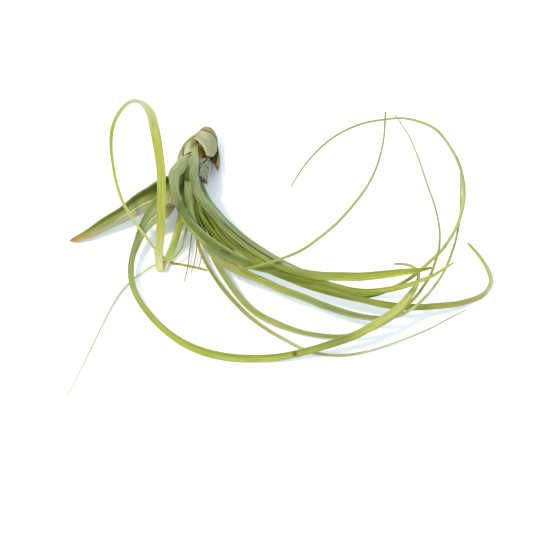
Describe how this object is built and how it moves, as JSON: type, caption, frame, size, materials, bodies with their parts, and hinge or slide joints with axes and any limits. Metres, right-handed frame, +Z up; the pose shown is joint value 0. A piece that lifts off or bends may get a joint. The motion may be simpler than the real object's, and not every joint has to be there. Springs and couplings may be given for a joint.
{
  "type": "air plant",
  "caption": "Loose air plant lying on a surface: a bulb of dry papery sheaths and long arching, looping strap leaves that taper to thin dry tips",
  "frame": {"origin": "bottom centre of the bounding box, on the surface that the plant lies on", "axes": "+X runs from the broad leaf's tip to the low bend at the right, +Y from the leaf tips back to the bulb, +Z up"},
  "size_m": [0.3381, 0.2575, 0.0923],
  "materials": {
    "leaf_green": "satin living leaf, fresh green with fine veins",
    "leaf_lime": "satin living leaf, yellow-green",
    "leaf_olive": "satin thin leaf, olive",
    "leaf_sage": "matt scurfy leaf back, grey-green",
    "dry_fibre": "matt dry fibre",
    "bulb_pale": "matt pale leaf bases",
    "sheath_pale": "matt papery sheath, cream-green",
    "sheath_tan": "matt dry papery sheath, tan",
    "sheath_grey": "matt dry ribbed sheath, grey-brown"
  },
  "bodies": {
    "root": {"broad_leaf": "leaf_green", "long_arc_leaf": "leaf_lime", "loop_leaf": "leaf_lime", "trailing_strand": "leaf_olive", "shoulder_leaf": "leaf_sage", "centre_leaf": "leaf_green", "low_bend_leaf": "leaf_green", "high_loop_leaf": "leaf_olive", "upper_leaf": "leaf_sage", "back_leaf": "leaf_sage", "right_sweep_leaf": "leaf_green", "lower_thin_leaf": "leaf_lime", "high_strand": "leaf_olive", "dry_strands": "dry_fibre", "bulb": "bulb_pale", "front_sheath": "sheath_pale", "base_scale": "sheath_tan", "right_sheath": "sheath_tan", "left_sheath": "sheath_tan", "lower_sheath": "sheath_grey"}
  },
  "joints": []
}
